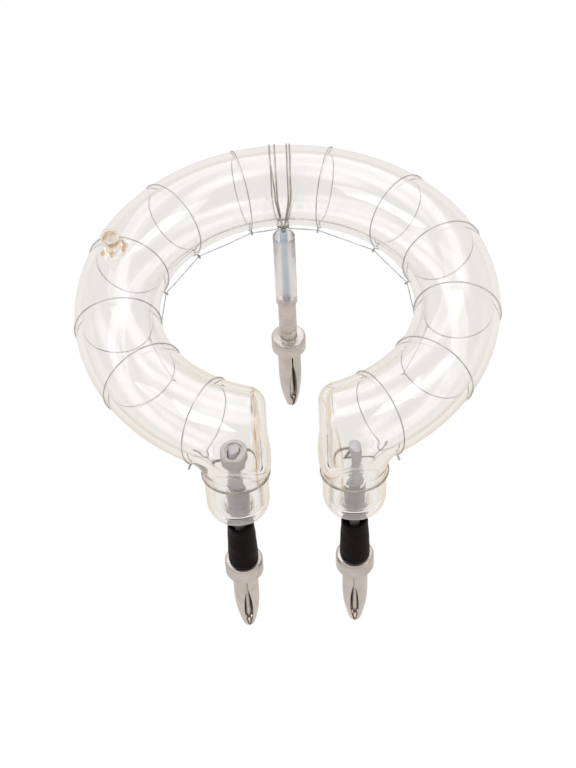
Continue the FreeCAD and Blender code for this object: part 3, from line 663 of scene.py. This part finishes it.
def surface_net(distance, low, high, cell):
    """Quads over the zero level of a signed distance, one vertex in each crossed cell."""
    field = sample_field(distance, [np.arange(a, b + cell, cell) for a, b in zip(low, high)])
    inside = field < 0
    cells = tuple(size - 1 for size in field.shape)
    total = np.zeros(cells + (3,), np.float32)
    count = np.zeros(cells, np.float32)
    for axis in range(3):
        u, v = [a for a in range(3) if a != axis]
        for first, second in ((0, 0), (0, 1), (1, 0), (1, 1)):
            begin = [slice(None)] * 3
            begin[axis] = slice(0, cells[axis])
            begin[u] = slice(first, first + cells[u])
            begin[v] = slice(second, second + cells[v])
            end = list(begin)
            end[axis] = slice(1, cells[axis] + 1)
            a = field[tuple(begin)]
            b = field[tuple(end)]
            crossed = (a < 0) != (b < 0)
            total[..., axis] += np.where(crossed, a / np.where(crossed, a - b, 1), 0)
            total[..., u] += np.where(crossed, first, 0)
            total[..., v] += np.where(crossed, second, 0)
            count += crossed
    active = count > 0
    index = np.full(cells, -1, np.int64)
    index[active] = np.arange(active.sum())
    corner = np.argwhere(active)
    vertices = np.array(low) + (corner + total[active] / count[active][:, None]) * cell
    quads = []
    for axis in range(3):
        u, v = [a for a in range(3) if a != axis]
        begin = [slice(1, cells[a]) for a in range(3)]
        begin[axis] = slice(0, cells[axis])
        end = list(begin)
        end[axis] = slice(1, cells[axis] + 1)
        a = inside[tuple(begin)]
        b = inside[tuple(end)]
        spots = np.argwhere(a != b)
        starts = a[tuple(spots.T)]
        spots = spots + np.array([0 if d == axis else 1 for d in range(3)])
        ring = []
        for du, dv in ((-1, -1), (0, -1), (0, 0), (-1, 0)):
            near = spots.copy()
            near[:, u] += du
            near[:, v] += dv
            ring.append(index[tuple(near.T)])
        ring = np.stack(ring, 1)
        flip = starts if axis != 1 else ~starts
        quads.append(np.where(flip[:, None], ring, ring[:, ::-1]))
    return vertices, np.concatenate(quads)


def gradient(distance, points):
    """Slope of a signed distance along each axis."""
    slopes = []
    for axis in range(3):
        shift = np.zeros(3)
        shift[axis] = SLOPE_STEP
        slopes.append(distance(points + shift) - distance(points - shift))
    return np.stack(slopes, 1) / (2 * SLOPE_STEP)


def settle(distance, points, passes):
    """Move points onto the zero level."""
    for _ in range(passes):
        slope = gradient(distance, points)
        length = np.maximum((slope * slope).sum(1), 1e-6)
        points = points - slope * (distance(points) / length)[:, None]
    return points


def relax(points, quads, rounds, distance):
    """Even out the mesh on its surface."""
    edges = np.concatenate([quads[:, [i, (i + 1) % 4]] for i in range(4)])
    count = np.bincount(edges[:, 0], minlength=len(points)).astype(float)
    count += np.bincount(edges[:, 1], minlength=len(points))
    for _ in range(rounds):
        total = np.zeros_like(points)
        for axis in range(3):
            total[:, axis] = np.bincount(edges[:, 0], points[edges[:, 1], axis], len(points))
            total[:, axis] += np.bincount(edges[:, 1], points[edges[:, 0], axis], len(points))
        points = points * 0.4 + total / count[:, None] * 0.6
        points = settle(distance, points, 1)
    return settle(distance, points, 2)


def mesh_from_distance(name, distance, low, high, cell):
    """Smooth mesh of a signed distance, with normals that follow the true surface."""
    points, quads = surface_net(distance, low, high, cell)
    points = relax(settle(distance, points, 3), quads, 3, distance)
    mesh = bpy.data.meshes.new(name)
    mesh.from_pydata((points * MM).tolist(), [], quads.tolist())
    mesh.update()
    shade_smooth(mesh)
    slope = gradient(distance, points)
    slope /= np.maximum(np.linalg.norm(slope, axis=1), 1e-6)[:, None]
    mesh.normals_split_custom_set_from_vertices(slope.tolist())
    return mesh


def wire_piece(name, paths, radius, slot, replaced):
    """Round wires along lists of points in millimetres, as one piece for one CAD node."""
    curve = bpy.data.curves.new(name, "CURVE")
    curve.dimensions = "3D"
    curve.bevel_depth = radius * MM
    curve.bevel_resolution = 3
    curve.use_fill_caps = True
    for points in paths:
        spline = curve.splines.new("POLY")
        spline.points.add(len(points) - 1)
        for item, point in zip(spline.points, points):
            item.co = (*(Vector(point) * MM), 1)
        spline.use_smooth = True
    return seat(new_piece(name, curve), slot, replaced)


def twisted_pair(start, direction, length, spread, turns, first=0.0):
    """Two wires wound round a line, as two lists of points."""
    direction = Vector(direction).normalized()
    side = direction.orthogonal().normalized()
    other = direction.cross(side)
    strands = ([], [])
    steps_a_turn = 12
    for share in shares(int(turns * steps_a_turn)):
        angle = first + turns * 2 * math.pi * share
        for strand, phase in zip(strands, (0, math.pi)):
            around = side * math.cos(angle + phase) + other * math.sin(angle + phase)
            strand.append(Vector(start) + direction * length * share + around * spread)
    return strands


def on_tube(place, around, lift=0.0):
    """Point on the glass tube: place round the ring, angle above its outside, in degrees."""
    sizes = glass_sizes()
    turn = math.radians(place)
    tilt = math.radians(around)
    reach = sizes.tube_radius + lift
    radial = sizes.ring_radius + math.cos(tilt) * reach
    return Vector((math.cos(turn) * radial, math.sin(turn) * radial,
                   sizes.plane + math.sin(tilt) * reach))


def turned_points(spot, outline, sides, rng, wobble, tilt):
    """Points of a turned piece, outline after outline, uneven and leaning towards its top."""
    phases = [rng.uniform(0, 2 * math.pi) for _ in range(4)]
    top = max(height for _, height in outline)
    low = min(height for _, height in outline)
    points = []
    for number in range(sides):
        angle = number / sides * 2 * math.pi
        for radius, height in outline:
            rise = (height - low) / (top - low)
            uneven = sum(math.sin(angle * (k + 2) + phase + height * (1.3 + 0.7 * k)) / (k + 1)
                         for k, phase in enumerate(phases))
            reach = radius + wobble * uneven * rise if radius else 0.0
            lift = tilt * math.cos(angle) * max(rise * 4 - 3, 0)
            lift += wobble * 1.5 * math.sin(angle * 5 + phases[0]) * max(rise * 8 - 7, 0)
            points.append((spot.x + math.cos(angle) * reach, spot.y + math.sin(angle) * reach,
                           height + lift))
    return points


def turned_piece(name, spot, outline, slot, replaced, wobble=0.0, tilt=0.0):
    """Piece turned from (radius, height) corners, with an uneven skin and a leaning top."""
    sides = 64
    same_point = 0.0005 * MM
    points = turned_points(spot, outline, sides, random.Random(len(name)), wobble, tilt)
    count = len(outline)
    faces = []
    for number in range(sides):
        after = (number + 1) % sides
        for step in range(count):
            following = (step + 1) % count
            faces.append((number * count + step, after * count + step,
                          after * count + following, number * count + following))
    mesh = bpy.data.meshes.new(name)
    mesh.from_pydata([tuple(value * MM for value in point) for point in points], [], faces)
    work = bmesh.new()
    work.from_mesh(mesh)
    bmesh.ops.remove_doubles(work, verts=work.verts, dist=same_point)
    bmesh.ops.recalc_face_normals(work, faces=work.faces)
    work.to_mesh(mesh)
    work.free()
    shade_smooth(mesh, 50)
    return seat(new_piece(name, mesh), slot, replaced)


# Operators

class FLASHTUBE_OT_glass(bpy.types.Operator):
    """Blow the ring, its two legs and the exhaust tip as one closed wall of glass"""
    bl_idname = "flashtube.glass"
    bl_label = "Glass envelope"

    def execute(self, context):
        sizes = glass_sizes()
        low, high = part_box("glass_envelope")
        margin = 2 * sizes.cell
        low = [value / MM - margin for value in low]
        high = [value / MM + margin for value in high]
        low[2] = sizes.foot_height - margin

        def distance(points):
            return glass_distance(points, sizes)

        mesh = mesh_from_distance("blown_ring", distance, low, high, sizes.cell)
        seat(new_piece("blown_ring", mesh), "clear_glass", "glass_envelope")
        return {"FINISHED"}


# A seal's radius on the leg's floor and at its top, its gap to the floor, and its hollow curve
SEAL_FOOT = 3.3
SEAL_TOP = 1.95
SEAL_GAP = 0.04
SEAL_CURVE = 2.6
# What is left of the cathode rod's height and width above the pellet, where it is a button
BUTTON_HEIGHT = 0.25
BUTTON_WIDTH = 0.8


class FLASHTUBE_OT_electrodes(bpy.types.Operator):
    """Finish the seals, the rods and the cathode pellet"""
    bl_idname = "flashtube.electrodes"
    bl_label = "Electrodes and seals"

    def execute(self, context):
        self.seal("cathode", CATHODE)
        self.seal("anode", ANODE)
        lead = softened_copy("cathode_lead", "cathode_rod", "rod_metal", 0.06)
        self.press_button(lead, span_of("cathode_pellet")[1] * MM)
        softened_copy("anode_lead", "anode_rod", "rod_metal", 0.06)
        softened_copy("sintered_pellet", "cathode_pellet", "sintered_metal", 0.05)
        return {"FINISHED"}

    def seal(self, word, spot):
        """Dome of glass round a rod, with hollow flanks."""
        sizes = glass_sizes()
        high = span_of(word + "_seal")[1]
        floor = sizes.lip_height + sizes.wall + SEAL_GAP
        outline = [(0.0, floor), (SEAL_FOOT, floor)]
        for share in shares(12)[1:]:
            radius = SEAL_TOP + (SEAL_FOOT - SEAL_TOP) * (1 - share) ** SEAL_CURVE
            outline.append((radius, floor + (high - floor) * share))
        outline.append((0.0, high))
        turned_piece(word + "_seal_glass", spot, outline, "seal_glass", word + "_seal")

    def press_button(self, lead, rim):
        """Flatten and narrow what stands above the pellet's rim."""
        for vertex in lead.data.vertices:
            if vertex.co.z > rim:
                vertex.co.z = rim + (vertex.co.z - rim) * BUTTON_HEIGHT
                for axis in (0, 1):
                    middle = CATHODE[axis] * MM
                    vertex.co[axis] = middle + (vertex.co[axis] - middle) * BUTTON_WIDTH


class FLASHTUBE_OT_plugs(bpy.types.Operator):
    """Finish the three plugs and their sprung barrels"""
    bl_idname = "flashtube.plugs"
    bl_label = "Plugs"

    def execute(self, context):
        for word in ("cathode", "anode", "trigger"):
            softened_copy(word + "_collar", word + "_plug", "plug_plating", 0.06)
            softened_copy(word + "_barrel", word + "_plug_spring", "spring_plating", 0.03)
        return {"FINISHED"}


# Corners of a black sleeve in millimetres: radius and height above its bottom, then radius
# and height from its top, for the lip
SLEEVE_FOOT = ((1.8, 0), (2.55, 0), (2.72, 0.25), (2.76, 0.8))
SLEEVE_LIP = ((2.33, -0.06), (2.26, 0), (2.12, 0), (2.05, -0.08), (1.95, -2.0))
SLEEVE_BORE = (1.8, 4.0)
# How much a sleeve narrows towards its top, and how late
SLEEVE_TAPER = 0.42
SLEEVE_CURVE = 1.3
SLEEVE_WOBBLE = 0.035


class FLASHTUBE_OT_sleeves(bpy.types.Operator):
    """Finish the black sleeves and the trigger post"""
    bl_idname = "flashtube.sleeves"
    bl_label = "Sleeves and post"

    def execute(self, context):
        self.black_sleeve("cathode", CATHODE, lift=0.25, tilt=0.5)
        self.black_sleeve("anode", ANODE, lift=-0.15, tilt=0.3)
        softened_copy("post_sleeve", "trigger_sleeve", "milky_sleeve", 0.1)
        softened_copy("post_ferrule", "trigger_ferrule", "ferrule_plating", 0.05)
        softened_copy("post_rod", "trigger_rod", "post_metal", 0.05)
        return {"FINISHED"}

    def black_sleeve(self, word, spot, lift, tilt):
        """Shrunk sleeve, as much higher as lift says, with a lip that leans by tilt."""
        low, high = span_of(word + "_sleeve")
        top = high + lift
        outline = [(radius, low + rise) for radius, rise in SLEEVE_FOOT]
        widest, skirt = SLEEVE_FOOT[-1]
        for share in shares(15)[1:-1]:
            outline.append((widest - SLEEVE_TAPER * share ** SLEEVE_CURVE,
                            low + skirt + (top - low - skirt) * share))
        outline.extend((radius, top + rise) for radius, rise in SLEEVE_LIP)
        outline.append((SLEEVE_BORE[0], low + SLEEVE_BORE[1]))
        turned_piece(word + "_shrink", spot, outline, "black_shrink", word + "_sleeve",
                     SLEEVE_WOBBLE, tilt)


# The trigger wire in millimetres: its gap to the glass, and a knot's gap, length and turns
WIRE_GAP = 0.03
KNOT_GAP = 0.15
KNOT_LENGTH = 0.9
KNOT_TURNS = 1.1
# Knots of the two front turns, in degrees below the outside of the ring
FRONT_KNOT = 40.0
# A turn's opening at its knot, and the most that it leans, in degrees
KNOT_OPENING = 5
MOST_LEAN = 0.6
# The runners' height off the glass, and their first point beside the post
RUNNER_LIFT = 0.7
RUNNER_START = 1.0


class FLASHTUBE_OT_trigger_wire(bpy.types.Operator):
    """Tie the turns of trigger wire round the ring, each with a twisted knot"""
    bl_idname = "flashtube.trigger_wire"
    bl_label = "Trigger wire"

    def execute(self, context):
        wire = wire_sizes()
        rng = random.Random(7)
        for number, place in enumerate(LEFT_TURNS + RIGHT_TURNS, start=1):
            self.turn(wire, rng, number, place)
        self.runner(wire, rng, "left", LEFT_TURNS[:-1], -RUNNER_START)
        self.runner(wire, rng, "right", RIGHT_TURNS[:-1], RUNNER_START)
        return {"FINISHED"}

    def turn(self, wire, rng, number, place):
        """One turn round the tube, and its knot."""
        in_front = place in (LEFT_TURNS[-1], RIGHT_TURNS[-1])
        knot = -(FRONT_KNOT if in_front else wire.knot_angle)
        lift = wire.radius + WIRE_GAP
        lean = rng.uniform(-MOST_LEAN, MOST_LEAN)
        loop = []
        for share in shares(72):
            around = knot + KNOT_OPENING + (360 - 2 * KNOT_OPENING) * share
            shift = lean * math.sin(math.radians(around - knot))
            loop.append(on_tube(place + shift, around, lift))
        outward = on_tube(place, knot, 2) - on_tube(place, knot)
        start = on_tube(place, knot, lift + KNOT_GAP)
        pair = twisted_pair(start, outward, KNOT_LENGTH, wire.radius, KNOT_TURNS,
                            rng.uniform(0, 3))
        pair[0].insert(0, loop[0])
        pair[1].insert(0, loop[-1])
        wire_piece(f"turn_{number:02d}", (loop,) + pair, wire.radius, "trigger_wire",
                   f"trigger_turn_{number:02d}")

    def runner(self, wire, rng, word, turns, first):
        """Wire from knot to knot below the ring, in slack runs."""
        start = on_tube(BACK, -wire.knot_angle, RUNNER_LIFT)
        points = [Vector((first, start.y, start.z))]
        for place in turns:
            end = on_tube(place, -wire.knot_angle, RUNNER_LIFT)
            middle = (points[-1] + end) / 2
            middle.z += rng.uniform(-0.15, 0.1)
            points.extend((middle, end))
        wire_piece("runner_" + word, (points,), wire.radius, "trigger_wire",
                   "trigger_runner_" + word)


# Strands over the back of the ring in millimetres and degrees: distance from the middle on
# top of the post and beyond it, and where a strand ends below the outside of the ring
STRANDS = ((-1.25, -2.0, 145), (-0.85, -1.0, 115), (1.2, 1.3, 115), (1.6, 1.9, 145))
STRAND_GAP = 0.05
# Angles above the outside of the ring: where the strands begin, over which they spread, from
# which they gather, and over which they do; and how much of their distance they give up
STRAND_START = 158
SPREAD_OVER = 70
GATHER_FROM = -60
GATHER_OVER = 80
GATHER_SHARE = 0.55
# The rings of wire at the post's eye: height of the eye, number, radius, first and pitch
EYE_RISE = 0.45
EYE_RINGS = 3
EYE_RADIUS = 0.42
EYE_FIRST = -0.35
EYE_PITCH = 0.3
# The ties' gap to the glass, the pitch of their wires in radii, and their waves
TIE_GAP = 0.06
TIE_PITCH = 2.1
TIE_WAVE = 0.06
# The ties' twisted ends: gap to the leg, distance of the wires in radii, and turns
END_GAP = 0.15
END_SPREAD = 1.05
END_TURNS = 2.6


class FLASHTUBE_OT_bindings(bpy.types.Operator):
    """Bind the ring to the post and put the twisted ties round the legs"""
    bl_idname = "flashtube.bindings"
    bl_label = "Bindings"

    def execute(self, context):
        wire = wire_sizes()
        self.post_binding(wire)
        self.leg_tie("cathode", CATHODE, wire, wire.cathode_tie, (-0.89, 0.45, 0.04), 2.8)
        self.leg_tie("anode", ANODE, wire, wire.anode_tie, (0.75, 0.5, 0.35), 1.8)
        return {"FINISHED"}

    def post_binding(self, wire):
        """Strands over the ring, rings at the post's eye and the knot below the ring."""
        eye = Vector((POST.x, POST.y, span_of("trigger_rod")[1] + EYE_RISE))
        lift = wire.strand + STRAND_GAP
        paths = [self.strand(eye, lift, *row) for row in STRANDS]
        for number in range(EYE_RINGS):
            ring = []
            for share in shares(18):
                angle = share * 2 * math.pi
                ring.append(eye + Vector((math.cos(angle) * EYE_RADIUS,
                                          math.sin(angle) * EYE_RADIUS,
                                          EYE_FIRST + number * EYE_PITCH)))
            paths.append(ring)
        knot = on_tube(BACK, -wire.knot_angle, 0.4) - Vector((1.0, 0, 0))
        paths.extend(twisted_pair(knot, (1, 0, 0), length=2.0, spread=0.17, turns=2.0))
        wire_piece("post_binding", paths, wire.strand, "binding_wire", "trigger_binding")

    def strand(self, eye, lift, inner, outer, last):
        """One strand from the eye over the ring, which spreads on top and gathers below."""
        path = [eye + Vector((0, -0.2, -0.3)), eye + Vector((inner * 0.12, 0.1, 0))]
        for share in shares(48):
            around = STRAND_START - (STRAND_START + last) * share
            spread = held((STRAND_START - around) / SPREAD_OVER)
            offset = inner + (outer - inner) * spread * spread * (3 - 2 * spread)
            offset *= 1 - GATHER_SHARE * held((GATHER_FROM - around) / GATHER_OVER)
            point = on_tube(BACK, around, lift)
            point.y = math.sqrt(point.y * point.y - offset * offset)
            point.x = offset
            path.append(point)
        return path

    def leg_tie(self, word, spot, wire, rise, heading, length):
        """Two leaning rounds of wire on a leg, and their twisted end along a heading."""
        sizes = glass_sizes()
        height = sizes.lip_height + rise
        lean = math.radians(wire.tie_tilt)
        reach = sizes.leg_radius / math.cos(lean) + wire.strand + TIE_GAP
        rounds = []
        for level in (0, 1):
            loop = []
            for share in shares(64):
                angle = share * 2 * math.pi
                wave = TIE_WAVE * math.sin(angle * 2 + level)
                drop = math.sin(angle) * reach * math.sin(lean)
                loop.append(Vector((
                    spot.x + math.cos(angle) * reach,
                    spot.y + math.sin(angle) * reach * math.cos(lean),
                    height + (level - 0.5) * wire.strand * TIE_PITCH + wave - drop)))
            rounds.append(loop)
        heading = Vector(heading).normalized()
        flat = Vector((heading.x, heading.y, 0)).normalized()
        foot = Vector((spot.x, spot.y, height)) + flat * (sizes.leg_radius + END_GAP)
        foot.z -= flat.y * sizes.leg_radius * math.sin(lean)
        rounds.extend(twisted_pair(foot, heading, length, wire.strand * END_SPREAD, END_TURNS))
        wire_piece(word + "_leg_tie", rounds, wire.strand, "binding_wire", word + "_tie")


# Soft lights that only mirrors and glass show: direction, strength and colour
LAVENDER = (0.90, 0.91, 1.0)
CANDLE = (1.0, 0.86, 0.62)
GLOWS = (
    ((0.22, 0.05, 0.97), 3.0, LAVENDER),
    ((-0.26, -0.07, 0.96), 2.3, LAVENDER),
    ((-0.15, 0.38, 0.91), 2.6, LAVENDER),
    ((0.20, 0.72, 0.66), 1.2, LAVENDER),
    ((0.62, 0.0, 0.78), 1.8, LAVENDER),
    ((-0.72, 0.40, 0.56), 1.5, LAVENDER),
    ((0.64, -0.76, 0.06), 1.1, CANDLE),
)
# Name, place and width in metres, and power in watts
LAMPS = (
    ("left_softbox", (-0.45, -0.15, 0.55), 0.40, 1.3),
    ("right_softbox", (0.50, -0.05, 0.50), 0.35, 0.9),
    ("back_softbox", (0.0, 0.55, 0.45), 0.50, 0.9),
)
LAMP_AIM = (0, 0, 0.045)


class FLASHTUBE_OT_stage(bpy.types.Operator):
    """Set the pale floor, the soft light and the camera"""
    bl_idname = "flashtube.stage"
    bl_label = "Stage"

    def execute(self, context):
        scene = context.scene
        scene.view_settings.view_transform = "Standard"
        self.floor()
        self.world(scene)
        self.lamps(scene)
        self.camera(scene)
        return {"FINISHED"}

    def floor(self):
        """Pale floor: it glows for the camera, and keeps the object's shadow."""
        half = 1.5
        mesh = bpy.data.meshes.new("floor")
        mesh.from_pydata([(-half, -half, 0), (half, -half, 0), (half, half, 0),
                          (-half, half, 0)], [], [(0, 1, 2, 3)])
        floor = new_piece("floor", mesh)
        kit = Finish("pale_floor")
        kit.set("Base Color", grey(0.86))
        kit.set("Roughness", 0.9)
        kit.set("Specular IOR Level", 0.0)
        glow = kit.new("Emission")
        mirrored = kit.new("LightPath").outputs["Is Glossy Ray"]
        kit.put(kit.blend("MIX", mirrored, WHITE, (0.88, 0.86, 0.84)), glow.inputs["Color"])
        kit.put(0.96, glow.inputs["Strength"])
        dim = kit.new("BsdfDiffuse")
        kit.put(grey(0.05), dim.inputs["Color"])
        both = kit.new("AddShader")
        kit.put(dim.outputs["BSDF"], both.inputs[0])
        kit.put(glow.outputs["Emission"], both.inputs[1])
        kit.either(kit.seen_rays(), kit.shader.outputs["BSDF"], both.outputs["Shader"],
                   kit.surface)
        mesh.materials.append(kit.owner)

    def world(self, scene):
        """Soft light from above; mirrors and glass show a grey tent with glows in it."""
        scene.world = bpy.data.worlds.new("studio")
        kit = NodeKit(scene.world)
        place, axes = kit.place("Generated")
        background = kit.nodes["Background"]
        kit.put(kit.ramp(axes["Z"], (0.0, grey(0.42)), (0.25, grey(0.55)), (0.75, grey(0.95))),
                background.inputs["Color"])
        kit.put(0.85, background.inputs["Strength"])
        tent = kit.ramp(axes["Z"], (0.0, (1.0, 0.94, 0.82)), (0.05, (0.84, 0.81, 0.78)),
                        (0.35, (0.82, 0.81, 0.80)), (0.8, (0.86, 0.86, 0.87)))
        front = kit.ramp(axes["Y"], (0.0, (0.92, 0.90, 0.88)), (0.35, (0.97, 0.96, 0.95)),
                         (0.6, WHITE))
        seen = kit.blend("MULTIPLY", 1.0, tent, front)
        for direction, strength, colour in GLOWS:
            towards = kit.vector_sum("DOT_PRODUCT", place, direction)
            glow = kit.ramp(towards, (0.955, BLACK), (0.992, colour))
            seen = kit.blend("ADD", 1.0, seen, kit.blend("MULTIPLY", 1.0, glow, grey(strength)))
        camera_ray = kit.new("LightPath").outputs["Is Camera Ray"]
        shown = kit.new("Background")
        kit.put(kit.blend("MIX", camera_ray, seen, WHITE), shown.inputs["Color"])
        kit.either(kit.seen_rays(), background.outputs["Background"],
                   shown.outputs["Background"], kit.nodes["World Output"].inputs["Surface"])

    def lamps(self, scene):
        """Soft boxes that light the object and don't show in mirrors."""
        for name, place, width, power in LAMPS:
            light = bpy.data.lights.new(name, "AREA")
            light.shape = "RECTANGLE"
            light.size = width
            light.size_y = width * 0.7
            light.energy = power
            lamp = bpy.data.objects.new(name, light)
            lamp.location = place
            aim = Vector(LAMP_AIM) - Vector(place)
            lamp.rotation_euler = aim.to_track_quat("-Z", "Y").to_euler()
            lamp.visible_glossy = False
            scene.collection.objects.link(lamp)

    def camera(self, scene):
        """Camera at the photograph's viewing angle, in metres."""
        distance = 0.32544
        elevation = math.radians(49.566)
        azimuth = math.radians(0.067)
        roll = math.radians(-2.818)
        target = Vector((-0.000554, 0.0, 0.032458))
        away = Vector((math.sin(azimuth) * math.cos(elevation),
                       -math.cos(azimuth) * math.cos(elevation), math.sin(elevation)))
        right = (-away).cross(Vector((0, 0, 1))).normalized()
        up = right.cross(-away)
        turned_right = right * math.cos(roll) + up * math.sin(roll)
        turned_up = up * math.cos(roll) - right * math.sin(roll)
        data = bpy.data.cameras.new("camera")
        data.lens = 79.84
        data.sensor_width = 36.0
        data.clip_start = 0.01
        camera = bpy.data.objects.new("camera", data)
        camera.matrix_world = Matrix.Translation(target + away * distance) @ Matrix(
            (turned_right, turned_up, away)).transposed().to_4x4()
        scene.collection.objects.link(camera)
        scene.camera = camera


class FLASHTUBE_PT_panel(bpy.types.Panel):
    """Lists the pieces of the flash tube, their sizes and their colours"""
    bl_idname = "FLASHTUBE_PT_panel"
    bl_label = "Flash tube"
    bl_space_type = "VIEW_3D"
    bl_region_type = "UI"
    bl_category = "Flash tube"

    def draw(self, context):
        layout = self.layout
        scene = context.scene
        for operator in OPERATORS:
            layout.operator(operator.bl_idname)
        for group in (scene.flash_tube_glass, scene.flash_tube_wires,
                      scene.flash_tube_colours):
            box = layout.box()
            for name in group.bl_rna.properties.keys():
                if name not in ("rna_type", "name"):
                    box.prop(group, name)


OPERATORS = (
    FLASHTUBE_OT_stage,
    FLASHTUBE_OT_glass,
    FLASHTUBE_OT_electrodes,
    FLASHTUBE_OT_plugs,
    FLASHTUBE_OT_sleeves,
    FLASHTUBE_OT_trigger_wire,
    FLASHTUBE_OT_bindings,
)
CLASSES = (GlassSizes, WireSizes, FinishColours) + OPERATORS + (FLASHTUBE_PT_panel,)


def register():
    """Register the add-on's classes and its groups of settings."""
    for item in CLASSES:
        bpy.utils.register_class(item)
    bpy.types.Scene.flash_tube_glass = PointerProperty(type=GlassSizes)
    bpy.types.Scene.flash_tube_wires = PointerProperty(type=WireSizes)
    bpy.types.Scene.flash_tube_colours = PointerProperty(type=FinishColours)


def unregister():
    """Take back what register did."""
    del bpy.types.Scene.flash_tube_colours
    del bpy.types.Scene.flash_tube_wires
    del bpy.types.Scene.flash_tube_glass
    for item in reversed(CLASSES):
        bpy.utils.unregister_class(item)


def main():
    """Build the lamp."""
    register()
    bpy.ops.flashtube.stage()
    bpy.ops.flashtube.glass()
    bpy.ops.flashtube.electrodes()
    bpy.ops.flashtube.plugs()
    bpy.ops.flashtube.sleeves()
    bpy.ops.flashtube.trigger_wire()
    bpy.ops.flashtube.bindings()


if __name__ == "__main__":
    main()
